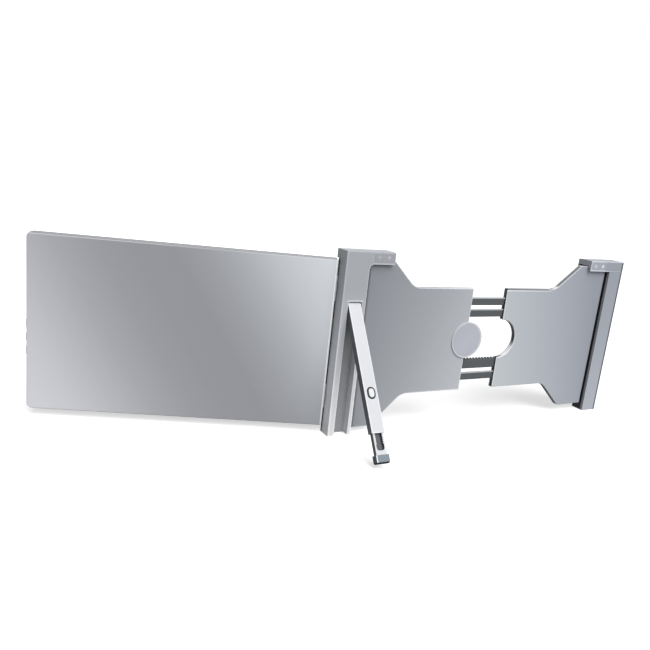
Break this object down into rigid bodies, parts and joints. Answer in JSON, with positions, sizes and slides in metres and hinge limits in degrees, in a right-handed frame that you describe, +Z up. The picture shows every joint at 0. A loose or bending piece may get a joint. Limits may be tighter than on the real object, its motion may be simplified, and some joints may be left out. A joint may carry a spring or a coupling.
{
  "type": "clip-on portable monitor",
  "caption": "Clip-on portable monitor: a display hinged to a sliding bracket that clamps a notebook lid, with a rack-held width and a folding telescopic kickstand",
  "frame": {"origin": "axis of the round badge, on the plane where the pads touch the lid; it is the middle of the round pad behind the badge", "axes": "+X along the rails, to the right as seen from behind; +Y out of the pads towards the lid and the person at the keyboard; +Z up"},
  "size_m": [0.7309, 0.2281, 0.2106],
  "materials": {
    "column_paint": "satin silver-grey paint on moulded plastic",
    "plate_paint": "satin silver-grey paint on moulded plastic",
    "inlay": "fine brushed inlay",
    "silicone": "matt silicone",
    "base_sheet": "plain sheet",
    "badge": "fine blasted, bare of any mark",
    "badge_trim": "turned bright",
    "guide_plastic": "slippery dark moulding",
    "rail_coat": "dark grey coating with bright cut edges",
    "steel": "turned or stamped",
    "washer_brass": "plain",
    "screen_shell": "fine blasted and anodised silver",
    "bezel": "fine grained black",
    "cover_glass": "glossy, dark when off",
    "lcd_stack": "dark film stack in a frame",
    "circuit_board": "solder mask",
    "socket_shell": "stamped sheet",
    "key_cap": "anodised silver",
    "leg_aluminium": "bright satin anodised",
    "button_trim": "dark anodised ring",
    "foot_plastic": "blue-grey moulding"
  },
  "bodies": {
    "left_bracket": {"left_column_shell": "column_paint", "left_column_cover": "column_paint", "left_arm_plate": "inlay", "left_hook_pad": "silicone", "left_side_pad": "silicone", "left_plate_cover": "plate_paint", "left_plate_base": "base_sheet", "left_lid_pads": "silicone", "badge_disc": "badge", "badge_ring": "badge_trim", "left_rail_guides": "guide_plastic", "upper_outer_rail": "rail_coat", "lower_outer_rail": "rail_coat", "pinion_axle": "steel", "brake_washer": "washer_brass", "kickstand_pin": "steel", "kickstand_washers": "washer_brass", "column_hinge_leaves": "steel", "hinge_pins": "steel", "column_leaf_screws": "steel", "left_base_screws": "steel", "left_rail_screws": "steel"},
    "pinion": {"drag_pinion": "steel"},
    "right_bracket": {"right_column_shell": "column_paint", "right_column_cover": "column_paint", "right_arm_cap": "column_paint", "right_arm_plate": "inlay", "right_hook_pad": "silicone", "right_side_pad": "silicone", "right_plate_cover": "plate_paint", "right_plate_base": "base_sheet", "right_lid_pads": "silicone", "right_rail_guides": "guide_plastic", "upper_inner_rail": "rail_coat", "rack_rail": "rail_coat", "right_base_screws": "steel", "right_rail_screws": "steel"},
    "screen": {"screen_back_cover": "screen_shell", "screen_bezel": "bezel", "screen_glass": "cover_glass", "lcd_module": "lcd_stack", "driver_board": "circuit_board", "usb_c_sockets": "socket_shell", "mini_hdmi_socket": "socket_shell", "button_switches": "socket_shell", "screen_hinge_leaves": "steel", "screen_leaf_screws": "steel"},
    "power_key": {"power_button": "key_cap"},
    "menu_up_key": {"menu_up_button": "key_cap"},
    "menu_down_key": {"menu_down_button": "key_cap"},
    "kickstand": {"kickstand_outer_leg": "leg_aluminium", "button_ring": "button_trim"},
    "kickstand_inner": {"kickstand_inner_leg": "leg_aluminium", "kickstand_foot": "foot_plastic", "foot_sole": "silicone"},
    "release": {"release_button": "leg_aluminium", "latch_pawl": "steel", "latch_leaf_spring": "steel"}
  },
  "joints": [
    {"name": "bracket_slide", "type": "slide", "parent": "left_bracket", "child": "right_bracket", "axis": [1, 0, 0], "range_m": [-0.052, 0.03]},
    {"name": "pinion_turn", "type": "hinge", "parent": "left_bracket", "child": "pinion", "pos_m": [-0.019, -0.0035, -0.0134], "axis": [0, -1, 0], "range_deg": [-250, 145]},
    {"name": "screen_hinge", "type": "hinge", "parent": "left_bracket", "child": "screen", "pos_m": [-0.1806, 0.0073, -0.00255], "axis": [0, 0, -1], "range_deg": [-21.2, 148.8]},
    {"name": "kickstand_hinge", "type": "hinge", "parent": "left_bracket", "child": "kickstand", "pos_m": [-0.165, -0.0069, 0.0432], "axis": [-1, 0, 0], "range_deg": [-33.5, 36.5]},
    {"name": "kickstand_slide", "type": "slide", "parent": "kickstand", "child": "kickstand_inner", "axis": [0, -0.5519, -0.8339], "range_m": [-0.0212, 0.025]},
    {"name": "release_press", "type": "slide", "parent": "kickstand", "child": "release", "axis": [0, 0.8339, -0.5519], "range_m": [0, 0.001], "stiffness_N_per_m": 600, "springref_m": -0.001},
    {"name": "power_press", "type": "slide", "parent": "screen", "child": "power_key", "axis": [0.9323, -0.3616, 0], "range_m": [0, 0.0006], "stiffness_N_per_m": 900, "springref_m": -0.001},
    {"name": "menu_up_press", "type": "slide", "parent": "screen", "child": "menu_up_key", "axis": [0.9323, -0.3616, 0], "range_m": [0, 0.0006], "stiffness_N_per_m": 900, "springref_m": -0.001},
    {"name": "menu_down_press", "type": "slide", "parent": "screen", "child": "menu_down_key", "axis": [0.9323, -0.3616, 0], "range_m": [0, 0.0006], "stiffness_N_per_m": 900, "springref_m": -0.001}
  ],
  "couplings": [
    {"joint": "pinion_turn", "follows": "bracket_slide", "rad_per_m": 83.333}
  ]
}
